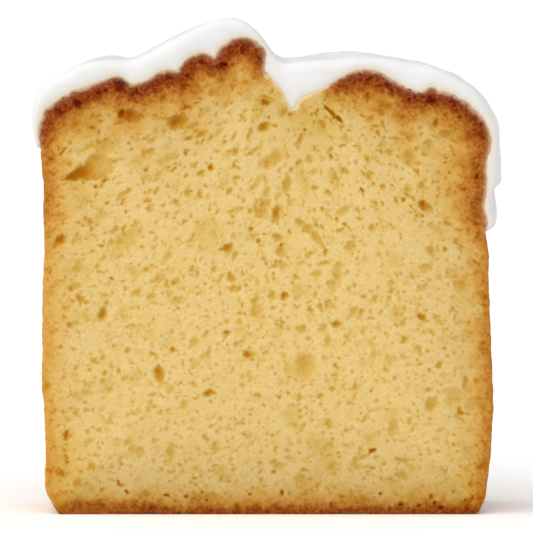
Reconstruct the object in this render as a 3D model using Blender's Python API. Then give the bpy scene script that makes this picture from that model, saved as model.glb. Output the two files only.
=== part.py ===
"""A thick slice of iced pound cake, standing upright on its baked base.

X is the slice's width, Y its thickness and Z its height. The loaf that it was cut from ran along Y, so
the cake and its icing are each one outline in X and Z, carried from the front cut to the back cut.
The outline drifts a little on the way, as a loaf does. Sizes are in millimetres until a mesh is made.
The origin is the middle of the base.
"""
import math

import bmesh
import bpy

MM = 0.001

# Driving sizes, in millimetres
THICKNESS = 27.0
CUT_STATIONS = (0.0, 1.0, 3.0, 6.0, 9.0, 12.0, 15.0, 18.0, 21.0, 24.0, 26.0, 27.0)
GAP = 0.3
LOBE_STEPS = 3
SIDE_STEPS = 2
BASE_STEPS = 6
LEFT_RIM_STEPS = 6
RIGHT_RIM_STEPS = 14

# The left side, from the base's chamfer up to where the left shoulder is widest: (x, z)
LEFT_SIDE = ((-41.6, 0.0), (-43.5, 3.0), (-44.5, 5.5), (-44.2, 11.0), (-45.0, 30.0), (-44.9, 46.0),
             (-44.3, 58.0), (-44.7, 68.0), (-45.1, 72.5), (-45.7, 76.5))

# The top crust, lobe by lobe from left to right. The outline is smooth along a lobe and creased
# where two lobes meet.
CRUST_LOBES = (
    # left shoulder and the long first lobe
    ((-45.7, 76.5), (-45.2, 79.4), (-43.0, 82.3), (-38.6, 84.9), (-34.6, 86.2), (-29.6, 87.1), (-27.1, 85.8)),
    # second lobe
    ((-27.1, 85.8), (-24.9, 86.6), (-22.4, 88.2), (-20.0, 88.9), (-17.5, 88.4)),
    # third lobe
    ((-17.5, 88.4), (-16.3, 90.8), (-13.7, 92.2), (-11.7, 92.1), (-10.5, 91.3)),
    # the peak, with the steep edge where the crust tore
    ((-10.5, 91.3), (-9.1, 93.6), (-5.4, 95.4), (-1.9, 94.4), (-0.3, 92.7), (-0.2, 89.4)),
    # left flank of the crack
    ((-0.2, 89.4), (2.7, 85.4), (5.3, 81.4)),
    # right flank of the crack, and the broad right-hand lobe
    ((5.3, 81.4), (7.3, 83.7), (10.4, 84.6), (13.1, 86.4), (16.0, 88.4), (19.0, 89.2), (22.7, 88.2),
     (26.7, 86.4), (31.2, 84.8)),
    # a small bump
    ((31.2, 84.8), (32.8, 85.6), (34.3, 84.2)),
    # right shoulder
    ((34.3, 84.2), (37.6, 83.6), (41.2, 81.0), (43.9, 77.6), (44.9, 75.4)),
)

# The right side, from where the right shoulder is widest down to the base: (x, z)
RIGHT_SIDE = ((44.9, 75.4), (44.4, 73.2), (43.7, 71.2), (43.4, 69.2), (43.5, 65.2), (43.1, 62.8),
              (43.2, 60.6), (44.2, 58.4), (43.7, 56.4), (44.5, 51.5), (44.5, 45.0), (45.0, 36.0),
              (45.3, 22.0), (44.8, 11.0), (43.8, 3.4), (43.1, 1.2), (41.8, 0.0))

# The icing's outer skin, left rim to right rim: (x, z)
ICING_LEFT_RIM = ((-46.1, 73.3), (-46.5, 75.0), (-46.9, 77.0), (-47.0, 79.4), (-46.6, 82.6))
ICING_TOP = ((-45.6, 85.2), (-42.1, 88.2), (-37.3, 90.8), (-31.3, 91.4), (-26.4, 91.2), (-21.7, 93.8),
             (-15.7, 97.1), (-10.6, 99.1), (-7.0, 99.7), (-3.6, 98.9), (-1.8, 97.4), (0.6, 94.3), (2.6, 91.5),
             (4.0, 90.6), (10.7, 91.8), (17.7, 92.2), (25.0, 91.5), (33.5, 90.0), (38.4, 88.1), (42.9, 83.9),
             (46.2, 79.6))
# down the right side come a thick drip with a bead at its end, then a thinner one under it
ICING_RIGHT_RIM = ((47.0, 75.5), (47.0, 70.0), (47.3, 67.4), (47.1, 65.8), (46.1, 65.0), (45.5, 64.2),
                   (45.5, 61.8), (46.1, 59.8), (46.6, 58.4), (46.2, 57.3), (45.4, 56.9))
LEFT_RIM_TOP = ICING_TOP[0][1]
RIGHT_RIM_TOP = ICING_TOP[-1][1]

# How the outline drifts between the two cuts
LOAF_HEIGHT = 95.4
SIDE_DRIFT = 0.5
CRUST_DRIFT = 0.4
CRACK_X = 3.0
CRACK_WIDTH = 7.0
CRACK_DRIFT = -1.8

# How the drips' ends vary: how much the left ones draw back, how much shorter the icing is between
# the right ones, how many of those fit in the thickness, and how round the notch between two is
LEFT_DRIP = 0.08
RIGHT_DRIP = 0.44
RIGHT_DRIPS = 1.35
DRIP_NOTCH_ROUND = 0.15

# The icing is rounded where it was cut, more on the right of the peak than on the left
CUT_ROUND_RUN = 3.0
CUT_ROUND_LEFT = 0.5
CUT_ROUND_RIGHT = 0.8
PEAK_X = -5.4

# Name, sRGB colour, roughness
CAKE_LOOK = ("cake", (0.89, 0.75, 0.45), 0.85)
ICING_LOOK = ("icing", (0.96, 0.95, 0.93), 0.4)


def spline(knots, steps):
    """Points on the smooth curve through knots, without the last one."""
    lengths = [math.dist(a, b) for a, b in zip(knots, knots[1:])]
    slopes = []
    for i in range(len(knots)):
        low, high = max(i - 1, 0), min(i + 1, len(knots) - 1)
        run = sum(lengths[low:high])
        slopes.append([(b - a) / run for a, b in zip(knots[low], knots[high])])
    points = []
    for i, run in enumerate(lengths):
        for step in range(steps):
            t = step / steps
            start, end = 2 * t**3 - 3 * t**2 + 1, 3 * t**2 - 2 * t**3
            leave, arrive = (t**3 - 2 * t**2 + t) * run, (t**3 - t**2) * run
            points.append(tuple(start * a + end * b + leave * u + arrive * v for a, b, u, v in
                                zip(knots[i], knots[i + 1], slopes[i], slopes[i + 1])))
    return points


def crust_top():
    """The top of the cake from the left shoulder to the right shoulder."""
    points = []
    for lobe in CRUST_LOBES:
        points += spline(lobe, LOBE_STEPS)
    return points + [CRUST_LOBES[-1][-1]]


def side_at(side, z):
    """The point of a side at height z."""
    fine = sorted(spline(side, 4 * SIDE_STEPS) + [side[-1]], key=lambda point: point[1])
    for (x_low, z_low), (x_high, z_high) in zip(fine, fine[1:]):
        if z <= z_high:
            share = (z - z_low) / (z_high - z_low)
            return (x_low + share * (x_high - x_low), z)
    return fine[-1]


def cake_outline():
    """The cake's closed outline, clockwise from the left end of its base."""
    base_right, base_left = RIGHT_SIDE[-1][0], LEFT_SIDE[0][0]
    base = [(base_right + (base_left - base_right) * step / BASE_STEPS, 0.0) for step in range(BASE_STEPS)]
    return spline(LEFT_SIDE, SIDE_STEPS) + crust_top()[:-1] + spline(RIGHT_SIDE, SIDE_STEPS) + base


def offset(points, distance):
    """An open outline moved to its left by distance, keeping its width at the creases."""
    moved = []
    for i, (x, z) in enumerate(points):
        before, after = points[max(i - 1, 0)], points[min(i + 1, len(points) - 1)]
        normals = []
        for (x_a, z_a), (x_b, z_b) in ((before, (x, z)), ((x, z), after)):
            run = math.dist((x_a, z_a), (x_b, z_b))
            if run > 0:
                normals.append((-(z_b - z_a) / run, (x_b - x_a) / run))
        n_x = sum(normal[0] for normal in normals) / len(normals)
        n_z = sum(normal[1] for normal in normals) / len(normals)
        mitre = distance / max(n_x**2 + n_z**2, 0.3)
        moved.append((x + n_x * mitre, z + n_z * mitre))
    return moved


def reach(depth):
    """How far the left and right drips run at a depth, as shares of their length at the front cut."""
    turn = 2 * math.pi * depth / THICKNESS
    left = 1.0 - LEFT_DRIP * (1 - math.cos(turn)) + LEFT_DRIP / 2 * math.sin(turn)
    right = 1.0 - RIGHT_DRIP * (1 - math.hypot(math.cos(RIGHT_DRIPS * turn / 2), DRIP_NOTCH_ROUND))
    return left, right


def stretched(knots, top, share):
    """Rim knots with their distances below top scaled by share."""
    return tuple((x, top - (top - z) * share) for x, z in knots)


def cut_rounding(points, depth):
    """How far in each point of the icing's skin lies at a depth, from the rounding at the cuts."""
    from_cut = min(depth, THICKNESS - depth)
    inside = max(1 - from_cut / CUT_ROUND_RUN, 0.0)
    drop = 1 - math.sqrt(1 - inside**2)
    rounded = []
    for x, _ in points:
        to_right = min(max((x - PEAK_X) / 6.0, 0.0), 1.0)
        rounded.append(drop * (CUT_ROUND_LEFT + (CUT_ROUND_RIGHT - CUT_ROUND_LEFT) * to_right))
    return rounded


def icing_outline(depth):
    """The icing's closed outline at a depth: its skin from left to right, then back along the crust."""
    left, right = reach(depth)
    left_rim = stretched(ICING_LEFT_RIM, LEFT_RIM_TOP, left)
    right_rim = stretched(ICING_RIGHT_RIM, RIGHT_RIM_TOP, right)
    skin = spline(left_rim + ICING_TOP + right_rim, SIDE_STEPS) + [right_rim[-1]]
    thinned = offset(skin, -1.0)
    skin = [(x + share * (x_in - x), z + share * (z_in - z))
            for (x, z), (x_in, z_in), share in zip(skin, thinned, cut_rounding(skin, depth))]
    left_low, left_high = left_rim[0][1], LEFT_SIDE[-1][1]
    right_low, right_high = right_rim[-1][1], RIGHT_SIDE[0][1]
    up = [side_at(LEFT_SIDE, left_low + (left_high - left_low) * step / LEFT_RIM_STEPS)
          for step in range(LEFT_RIM_STEPS)]
    down = [side_at(RIGHT_SIDE, right_high + (right_low - right_high) * (step + 1) / RIGHT_RIM_STEPS)
            for step in range(RIGHT_RIM_STEPS)]
    crust_side = offset(up + crust_top() + down, GAP)
    return skin + crust_side[::-1]


def drifted(x, z, depth):
    """Where an outline's point goes at a depth. Nothing moves at the front cut, nor along the base."""
    weight = (z / LOAF_HEIGHT)**2
    sway = math.sin(depth / 8.0 + z / 18.0) - math.sin(z / 18.0)
    swell = math.sin(depth / 6.0 + x / 6.5) - math.sin(x / 6.5)
    crack = math.exp(-((x - CRACK_X) / CRACK_WIDTH)**2) * math.sin(depth / 15.0)
    return (x + weight * (SIDE_DRIFT * sway + CRACK_DRIFT * crack), z - weight**2 * CRUST_DRIFT * swell)


def loft(name, outline_at):
    """A closed mesh object through outline_at(depth) at every cut station."""
    mesh_data = bmesh.new()
    rings = []
    for depth in CUT_STATIONS:
        y = depth - THICKNESS / 2
        corners = [drifted(x, z, depth) for x, z in outline_at(depth)]
        rings.append([mesh_data.verts.new((x * MM, y * MM, z * MM)) for x, z in corners])
    count = len(rings[0])
    for front, back in zip(rings, rings[1:]):
        for i in range(count):
            j = (i + 1) % count
            mesh_data.faces.new((front[i], back[i], back[j], front[j]))
    mesh_data.faces.new(rings[0])
    mesh_data.faces.new(rings[-1][::-1])
    bmesh.ops.recalc_face_normals(mesh_data, faces=mesh_data.faces[:])
    bmesh.ops.triangulate(mesh_data, faces=mesh_data.faces[:])
    mesh = bpy.data.meshes.new(name)
    mesh_data.to_mesh(mesh)
    mesh_data.free()
    mesh.shade_smooth()
    mesh.set_sharp_from_angle(angle=math.radians(35))
    part = bpy.data.objects.new(name, mesh)
    bpy.context.collection.objects.link(part)
    return part


def linear(channel):
    """One sRGB channel as the linear value that a shader takes."""
    return channel / 12.92 if channel <= 0.04045 else ((channel + 0.055) / 1.055)**2.4


def give_material(part, look):
    name, colour, roughness = look
    material = bpy.data.materials.new(name)
    material.use_nodes = True
    shader = material.node_tree.nodes["Principled BSDF"]
    shader.inputs["Base Color"].default_value = (*[linear(channel) for channel in colour], 1.0)
    shader.inputs["Roughness"].default_value = roughness
    shader.inputs["Metallic"].default_value = 0.0
    part.data.materials.append(material)


def main():
    for old in list(bpy.data.objects):
        bpy.data.objects.remove(old, do_unlink=True)
    outline = cake_outline()
    cake = loft("cake", lambda depth: outline)
    give_material(cake, CAKE_LOOK)
    icing = loft("icing", icing_outline)
    give_material(icing, ICING_LOOK)


main()
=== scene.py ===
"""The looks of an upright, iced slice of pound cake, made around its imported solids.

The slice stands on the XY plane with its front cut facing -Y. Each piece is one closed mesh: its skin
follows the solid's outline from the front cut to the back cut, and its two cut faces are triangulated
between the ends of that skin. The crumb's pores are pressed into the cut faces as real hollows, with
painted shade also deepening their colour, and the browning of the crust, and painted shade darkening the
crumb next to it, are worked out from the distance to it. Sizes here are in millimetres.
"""

import math
from collections import namedtuple

import bmesh
import bpy
import numpy as np
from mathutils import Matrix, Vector, kdtree
from mathutils.geometry import delaunay_2d_cdt


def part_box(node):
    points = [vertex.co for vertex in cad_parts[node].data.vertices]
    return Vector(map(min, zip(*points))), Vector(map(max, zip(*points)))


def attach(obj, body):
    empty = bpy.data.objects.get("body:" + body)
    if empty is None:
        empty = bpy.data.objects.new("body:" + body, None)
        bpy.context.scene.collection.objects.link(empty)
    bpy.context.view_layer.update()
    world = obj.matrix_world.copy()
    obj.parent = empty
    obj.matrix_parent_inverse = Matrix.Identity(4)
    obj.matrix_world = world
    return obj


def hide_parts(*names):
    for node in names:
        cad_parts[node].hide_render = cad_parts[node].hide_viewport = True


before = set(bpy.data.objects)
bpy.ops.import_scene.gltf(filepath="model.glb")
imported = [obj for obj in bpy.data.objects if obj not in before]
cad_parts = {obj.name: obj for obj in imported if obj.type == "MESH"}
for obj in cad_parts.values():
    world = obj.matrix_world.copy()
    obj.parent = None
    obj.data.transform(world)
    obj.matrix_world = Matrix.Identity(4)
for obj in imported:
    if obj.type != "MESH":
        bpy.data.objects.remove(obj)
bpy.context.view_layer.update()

MM = 0.001
CAKE_LOW, CAKE_HIGH = (np.array(corner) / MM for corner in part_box("cake"))
FRONT_Y, BACK_Y = CAKE_LOW[1], CAKE_HIGH[1]
THICKNESS = BACK_Y - FRONT_Y

# How the outlines are read from the solids
SLICE_STEP = 1.5  # between the depths where a solid is sliced
SLICE_INSET = 0.02  # the first and last slices lie this far inside the cuts
OUTLINE_STEP = 0.2  # between the points of a read outline
OUTLINE_SOFTENING = 0.35
CRUST_SOFTENING = 0.5  # of the crust that the icing is laid on
DEPTH_SOFTENINGS = 3  # how often each outline is mixed with its neighbours
DIRECTION_REACH = 0.8  # how far on both sides of a point its direction is measured

# How finely the pieces are meshed
CAKE_EDGE_STEP = 0.36  # along the edge of a cut face
SKIN_STEP = 0.8  # over the crust that shows
HIDDEN_STEP = 3.5  # over the crust under the icing
CAP_STEPS = (0.88, 0.44, 0.22)  # over a cut face, from its flat stretches to its pores' walls
SPARE_POINTS = 1.25  # how many times its points are picked, as some lie outside it
TONE_COUNTS = 0.4  # how much a pore's painted shade counts beside its depth when they are picked
CUT_FADE = (0.1, 1.1)  # how far from a cut face's edge its relief comes up
EDGE_CLEARANCE = 0.3  # of a cut face's own points from its edge
ICING_EDGE_STEP = 0.4
ICING_STEP = 0.62  # over the icing's outside
ICING_HIDDEN_STEP = 2.0  # over its underside
ICING_CUT_STEP = 0.8 * ICING_STEP
ROW_STEP = 0.87  # between a net's staggered rows, as a share of its step
NET_JITTER, CAP_JITTER = 0.12, 0.22  # of the points of skins and of cut faces, as shares of a step

# The raster on which a cut face's hollows are worked out
GRID = 0.11
GRID_LOW, GRID_HIGH = CAKE_LOW[[0, 2]] - 2.0, CAKE_HIGH[[0, 2]] + 2.0
GRID_AXES = [np.arange(low, high, GRID) for low, high in zip(GRID_LOW, GRID_HIGH)]
GRID_SHAPE = tuple(len(axis) for axis in GRID_AXES)

# The crack in the crust, and the point over it to which the pores of the risen crumb lead
CRACK_TIP = (5.3, 81.4)
CRACK_LEFT, CRACK_RIGHT = 0.1, 12.5
RISEN_TO = (CRACK_TIP[0], CRACK_TIP[1] + 10.0)
RISEN_FROM, RISEN_OVER = 35.0, 25.0  # the height where this begins, and over how much more it is complete

# Kinds of pore: how deep, as a share of the width, and how much painted shade deepens their colour, from 0
# to 1
SLIT, DEEP, PLAIN, SOFT = (0.6, 1.15), (0.3, 0.92), (0.22, 0.66), (0.1, 0.6)
PORE_LEAN = 0.3  # how much deeper a pore is at its upper left than in its middle, and how much darker its painted shade is there, away from the key light
PORE_FILL = 0.6  # below 1, a pore's painted shade stays deep almost up to its rim
PORE_WINDOW = (0.65, 0.4)  # how far out it is worked out: this share of its length, and this much more

# The pores that stand out on the front cut: x, z, length, width and the length's tilt in degrees
SLIT_PORES = (
    (13.1, 80.4, 5.4, 1.0, -47), (14.6, 79.1, 2.6, 1.3, -50), (3.1, 54.0, 1.5, 0.7, 40),
    (21.1, 12.6, 2.4, 1.2, 40), (42.0, 67.7, 1.2, 1.0, 90), (-28.9, 80.2, 2.2, 1.6, 60),
    (31.6, 62.2, 1.8, 0.9, -42),
    # in the base's crust and just over it
    (-27.8, 4.3, 1.4, 0.8, -35), (-20.1, 3.7, 1.4, 0.9, 0), (-16.1, 3.6, 1.0, 1.0, 90),
    (-11.9, 2.8, 1.0, 0.8, 0), (-3.3, 4.0, 1.6, 0.7, 0), (3.1, 4.3, 1.2, 0.8, 20), (22.8, 3.8, 0.9, 0.9, 0),
    (27.2, 2.0, 1.6, 0.8, 30), (30.8, 1.8, 1.3, 0.7, 30), (34.9, 1.4, 1.3, 0.9, 0),
    (-12.9, 4.5, 0.9, 0.6, 0),
)
DEEP_PORES = (
    # under the crust
    (-27.0, 79.8, 5.2, 3.2, -5), (-17.7, 78.6, 4.8, 3.4, 15), (-8.4, 90.0, 1.8, 1.7, 0),
    (-38.1, 82.4, 1.6, 1.1, 60), (-28.7, 86.4, 1.7, 1.2, 0), (33.1, 82.6, 1.5, 1.2, 80),
    (20.1, 83.6, 2.6, 1.8, 90), (33.8, 78.4, 2.4, 1.6, 80), (-34.7, 77.6, 2.6, 1.3, -5),
    (-15.9, 81.4, 2.2, 1.0, 0),
    # beside the crack
    (-0.5, 77.6, 2.8, 2.2, 10), (-0.1, 82.4, 2.4, 2.0, 0),
    # middle
    (31.7, 61.8, 3.6, 2.2, -40), (2.1, 60.2, 4.3, 2.0, 80), (-41.3, 54.8, 3.2, 2.4, 40),
    (-30.9, 47.2, 1.3, 1.1, 0), (-18.4, 46.2, 1.1, 1.0, 90), (-1.5, 55.0, 1.4, 1.3, 0),
    (-7.7, 53.3, 2.8, 2.1, 30), (3.7, 43.9, 2.0, 1.8, 90), (-3.1, 57.0, 1.4, 1.1, 0),
    (-32.9, 40.2, 3.4, 2.2, 75), (-8.1, 36.2, 2.0, 1.8, 0), (14.1, 38.1, 2.2, 1.7, 0),
    (31.3, 39.4, 2.4, 1.6, -60),
    # lower down
    (-18.7, 33.0, 1.8, 1.7, 0), (-21.5, 28.2, 4.2, 2.4, -80), (-11.3, 24.3, 2.9, 1.8, 0),
    (-3.5, 31.9, 2.6, 2.2, 0), (-40.1, 15.8, 2.6, 1.8, -65), (-29.1, 6.2, 2.2, 1.0, -30),
    (-39.9, 10.6, 0.9, 0.8, 0), (21.1, 12.6, 2.2, 1.4, 40), (38.9, 20.6, 2.4, 1.3, -60),
    # in the crust's own band
    (39.6, 65.4, 1.8, 0.8, 0), (41.9, 58.1, 0.9, 0.8, 0), (15.1, 3.6, 1.2, 0.7, 0),
    (32.9, 3.4, 1.6, 1.2, 90), (39.9, 2.6, 1.2, 1.2, 0), (41.4, 3.3, 1.0, 0.9, 0),
    (-14.5, 7.4, 1.6, 0.6, -25), (-25.1, 3.2, 1.0, 0.6, 0),
)
PLAIN_PORES = (
    # top left
    (-33.6, 76.4, 1.6, 1.0, 90), (-32.7, 78.8, 1.3, 0.9, 0), (-13.9, 74.4, 1.2, 1.2, 0),
    (-17.9, 71.6, 1.8, 0.7, 35), (-14.3, 70.1, 2.0, 0.9, 40), (-9.7, 72.8, 1.8, 1.0, 0),
    (-7.3, 72.6, 1.6, 1.0, 0), (-22.1, 64.8, 2.2, 1.3, 35), (-20.1, 66.2, 1.6, 0.6, 50),
    (-27.9, 64.6, 3.4, 0.9, 40), (-16.5, 58.4, 2.4, 0.9, 50), (-37.7, 58.6, 1.8, 1.3, 0),
    # under the crack
    (-0.1, 83.6, 3.6, 0.8, 0), (1.7, 78.0, 2.6, 0.6, 0), (-2.5, 73.0, 4.8, 1.0, 35),
    (6.7, 70.2, 1.8, 1.7, 90), (6.5, 74.8, 1.6, 1.0, 90), (4.9, 80.3, 1.4, 1.4, 0),
    (15.4, 77.8, 1.2, 0.7, 0), (13.1, 73.0, 1.8, 1.2, 90), (12.7, 71.4, 1.2, 1.2, 0),
    (15.7, 68.8, 2.8, 1.4, -30), (19.6, 68.2, 2.8, 0.6, -55), (-6.1, 67.4, 2.0, 1.2, 30),
    (-2.7, 65.6, 3.0, 1.0, 45), (9.7, 65.4, 1.8, 1.4, 0), (12.5, 64.6, 1.8, 1.2, -60),
    # top right
    (23.1, 80.5, 1.7, 1.5, 0), (20.7, 79.2, 1.8, 1.0, 0), (21.9, 77.8, 1.6, 1.4, 0),
    (35.9, 76.2, 2.6, 2.0, 0), (31.7, 72.2, 1.6, 1.2, 0), (28.5, 71.2, 1.3, 0.9, 0),
    (30.2, 70.2, 1.5, 0.8, 0), (36.1, 71.6, 1.4, 0.8, 0), (36.1, 70.6, 1.4, 0.8, 0),
    (24.7, 72.6, 1.5, 1.5, 0), (26.1, 69.6, 1.0, 1.0, 0), (27.1, 76.2, 2.0, 0.7, -65),
    (28.3, 64.0, 2.4, 1.2, -40), (31.1, 65.6, 2.4, 1.5, -30), (34.3, 63.8, 1.2, 1.0, 0),
    (25.1, 57.8, 2.2, 0.9, -55), (18.5, 59.4, 1.6, 1.2, 0), (39.3, 46.2, 2.0, 1.2, -50),
    (7.0, 58.3, 3.4, 1.6, -38), (8.6, 57.0, 3.8, 2.1, -46), (10.0, 55.4, 4.0, 1.9, -54),
    (11.2, 53.8, 3.0, 1.1, -58),
    # middle
    (-29.3, 54.6, 2.0, 1.4, 60), (-24.9, 53.6, 1.4, 1.1, 0), (-0.1, 62.3, 3.0, 2.3, 20),
    (-10.5, 49.0, 1.9, 1.3, 0), (4.1, 65.9, 4.4, 2.3, 75), (2.3, 55.6, 2.6, 2.2, 0),
    (3.0, 52.6, 3.2, 2.2, 90), (-6.7, 45.3, 2.2, 1.9, 0), (1.1, 43.8, 2.2, 2.0, 90),
    (5.9, 47.4, 2.2, 1.4, 0), (-32.1, 42.6, 1.8, 1.2, 75), (-39.3, 38.0, 1.6, 1.5, 90),
    (8.9, 40.6, 1.8, 1.4, 90), (18.9, 40.6, 1.7, 1.6, 0), (24.7, 43.6, 1.3, 1.2, 90),
    (19.3, 43.6, 1.6, 1.4, 90), (27.7, 41.2, 1.3, 1.3, 0), (27.7, 35.0, 1.6, 1.6, 0),
    (-11.7, 32.4, 1.5, 1.4, 0), (35.7, 33.2, 1.2, 1.2, 0),
    # lower left
    (-27.7, 32.8, 1.8, 1.6, 0), (-33.9, 30.4, 1.2, 1.2, 0), (-29.5, 28.8, 1.7, 1.0, 90),
    (-31.5, 24.8, 2.2, 1.4, -40), (-36.3, 26.0, 1.8, 0.9, 90), (-38.1, 20.2, 2.0, 0.7, 90),
    (-18.7, 8.6, 1.5, 0.9, 0), (-4.3, 16.0, 1.3, 0.8, 0), (-10.3, 14.0, 1.2, 0.8, 0),
    (-0.9, 8.6, 1.8, 0.9, 0), (-7.5, 6.8, 1.6, 0.8, -20),
    # lower right
    (2.7, 23.4, 1.6, 1.2, 0), (10.7, 23.6, 1.9, 1.0, 0), (14.1, 29.8, 1.5, 1.1, 0),
    (17.9, 25.6, 1.6, 1.6, 0), (12.7, 18.0, 2.0, 1.2, 0), (7.5, 8.8, 2.2, 1.3, 0), (26.7, 10.8, 1.4, 1.0, 0),
    (40.5, 20.2, 1.6, 1.0, 0), (38.5, 23.0, 1.4, 0.8, 90), (39.9, 26.4, 3.0, 1.5, 85),
    (34.7, 29.8, 2.0, 1.4, 90), (30.3, 33.2, 1.6, 1.0, 0), (32.7, 22.4, 2.2, 1.0, 90),
    (42.1, 13.6, 1.4, 1.0, 90), (13.3, 7.9, 1.2, 1.0, 0), (19.5, 7.0, 1.4, 0.9, 30),
    (12.2, 4.9, 1.3, 1.1, 0), (26.1, 4.0, 1.3, 0.8, 0), (37.7, 4.5, 1.0, 1.0, 0), (41.2, 5.8, 1.3, 0.8, 90),
    (19.7, 5.2, 1.1, 0.8, 0),
)
SOFT_PORES = (
    (1.5, 71.4, 5.0, 3.0, 35), (15.2, 60.8, 3.8, 2.1, 30), (-21.7, 47.2, 4.0, 1.8, 30),
    (-2.1, 40.7, 3.2, 3.0, 90), (16.7, 53.6, 3.2, 2.4, 90), (14.3, 47.6, 3.0, 1.9, 90),
    (10.4, 48.3, 2.0, 1.9, 0), (-6.7, 61.0, 3.4, 1.2, 30), (-5.3, 34.5, 3.2, 1.5, 20),
    (12.2, 34.8, 2.7, 1.9, 90), (2.5, 37.9, 3.0, 1.4, -50), (7.7, 29.7, 6.4, 4.8, 80),
    (-19.1, 12.6, 2.4, 2.2, 0), (-34.9, 9.8, 2.8, 1.6, -40), (25.3, 17.3, 3.6, 2.2, 60),
    (27.1, 8.0, 3.4, 1.8, 0),
)
# The torn hollow under the left shoulder: its corners, where its floor comes up highest, over what distances
# it goes down from there, and how deep it is, and how much painted shade deepens its colour, at the high
# place and at its lowest
TEAR_CORNERS = ((-41.2, 67.0), (-32.2, 66.9), (-30.5, 68.4), (-30.2, 71.0), (-32.0, 72.4), (-34.4, 72.2))
TEAR_RISE, TEAR_FALL = (-32.0, 70.0), (0.4, 6.0)
TEAR_DEPTHS, TEAR_SHADES = (0.45, 1.0), (0.42, 1.1)
TEAR_WALL = 0.25  # how far in from its rim its wall goes down
# Where the crust is baked darkest: x, z and width
DARK_SPOTS = (
    (-29.3, 85.7, 2.4), (-37.6, 82.0, 2.2), (-33.6, 84.6, 1.8), (-41.6, 80.6, 1.6), (-26.0, 84.6, 1.6),
    (-19.4, 87.0, 1.9), (-22.2, 85.8, 1.3), (-8.7, 89.8, 1.9), (-12.9, 90.6, 1.5), (-4.6, 93.0, 1.6),
    (-1.8, 91.4, 1.5), (33.0, 82.9, 2.2), (24.2, 86.3, 1.6), (20.4, 87.2, 1.8), (37.8, 82.4, 1.7),
    (30.0, 84.2, 1.3), (-14.8, 3.1, 1.4), (-6.0, 1.6, 1.8), (13.0, 1.8, 1.4), (27.0, 2.0, 1.7),
    (34.0, 2.4, 1.2),
)
SPOT_DARKENING = 0.32
# Where the crumb is packed, beside the crack and in the lower corners: x, z, reach and how much deeper in
# colour
PACKED_CRUMB = ((9.6, 78.4, 5.0, 0.34), (-0.5, 84.5, 4.0, 0.22), (-42.0, 6.5, 7.0, 0.36),
                (42.0, 4.0, 7.0, 0.3))

# The scattered pores: how many, their middle length, how deep, and how much painted shade deepens their
# colour
SMALL_PORES = (2900, 0.74, (0.08, 0.22), (0.2, 0.82))
MIDDLE_PORES = (400, 1.3, (0.1, 0.2), (0.2, 0.7))
FAINT_PORES = (150, 2.4, (0.03, 0.07), (0.12, 0.42))
LARGE_PORES = (90, 2.1, (0.22, 0.34), (0.4, 0.9))
PORE_SPREAD = 0.42  # of their lengths, as a logarithm
PORE_LONGEST = 2.8  # how many such spreads above the middle a length may be
LEVEL_SPREAD, RISEN_SPREAD = 40.0, 15.0  # of their tilts in degrees, low down and in the risen crumb
SLIMMEST, RISEN_SLIMMER = 1.7, 1.3  # their length over their width at most, and how much more there
RISEN_MORE_SHADE = 0.35  # how much more painted shade deepens their colour there
TONE_DRAW = (1.8, 2.4)  # of the beta distribution that their painted shades are drawn from
PORE_WARPS = ((0.14, 1.5), (0.07, 0.6))  # how far pores' rims wander, and from swell to swell

# The skin's relief: how high, and how wide from swell to swell
CRUST_SWELLS = ((0.1, 9.0), (0.05, 2.6), (0.03, 1.0))
CUT_SWELLS = ((0.05, 7.0), (0.035, 1.3), (0.03, 0.6))
ICING_SWELLS = ((0.22, 12.0), (0.06, 5.0))
TOP_ROUGHER = 0.9  # how much rougher the crust is on top
# Where the crust swells out a little into the icing, or lies back from it: x, z, reach and rise
CRUST_BULGES = (
    (-43.0, 76.5, 4.0, -0.3), (-28.3, 86.6, 4.0, 0.55), (-18.0, 88.5, 6.0, 0.3), (-4.9, 95.6, 2.5, -0.3),
    (-0.5, 92.8, 3.5, 0.4), (15.0, 86.8, 3.0, -0.35), (34.0, 84.5, 4.0, 0.2), (41.5, 80.5, 6.0, 0.7),
    (45.0, 68.0, 8.0, 0.5),
)

# The crust's zones: the top, the crack's flanks, the right side's upper part and the rest of it, the left
# side's upper part and the rest of it, the base, and the base's left end. Over these heights, and for that
# end over these distances to the left, one zone blends into the next.
SHOULDER_ZONE, RIGHT_ZONE, LEFT_ZONE, BASE_ZONE = (73.0, 77.5), (54.5, 59.5), (50.0, 66.0), (0.6, 2.0)
BASE_END = (22.0, 32.0)
BROWN = (0.77, 0.04, 0.59, 0.37, 0.44, 0.22, 0.66, 0.54)  # how brown, from 0 for crumb to 1
BROWN_BAND = (2.2, 1.2, 2.2, 1.0, 1.4, 0.9, 1.0, 2.3)  # how far in it is full, in millimetres
BROWN_REACH = (3.4, 2.0, 3.6, 2.3, 3.0, 2.6, 1.8, 1.0)  # over how many more it fades out
ZONE_SHADE = (0.34, 0.1, 0.28, 0.22, 0.14, 0.08, 0.38, 0.34)  # how much painted shade darkens the crumb next to it, most at the base, the top and on the right, away from the key light
# how far into the crumb that painted shade reaches
ZONE_SHADE_REACH = 9.0
ZONE_SOFTENING = 1.5  # how far along the crust one place's values blend into the next's
BROWN_WAVES = (0.35, 1.2)  # how far the browning's full band waves, and from swell to swell
REACH_WAVES = (0.2, 4.0)  # by what share its reach varies, and from swell to swell
LEAST_REACH = 0.6
SOAKED = (0.72, 0.9, 0.72, 0.0, 0.4, 0.0, 0.0, 0.0)  # how much icing its outer edge has taken up
SOAKED_REACH = 0.3
UNDER_ICING = 0.9  # the crust nearer than this to the icing is under it
SKIN_BROWNER = 0.08  # how much of the way to dark the crust's outer side has gone besides
SKIN_MOTTLES = ((0.035, 5.0), (0.05, 1.4))  # how uneven it is, and from swell to swell
MOTTLE_SHEARS = (0.4, 0.6)  # of x into y and z, so that they show on top and on the sides
SKIN_ZONE_SHADE = 0.5  # how much of its zone's painted shade the outer side gets
SHOWN_BELOW = 78.0  # the crust higher than this is under the icing

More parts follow.
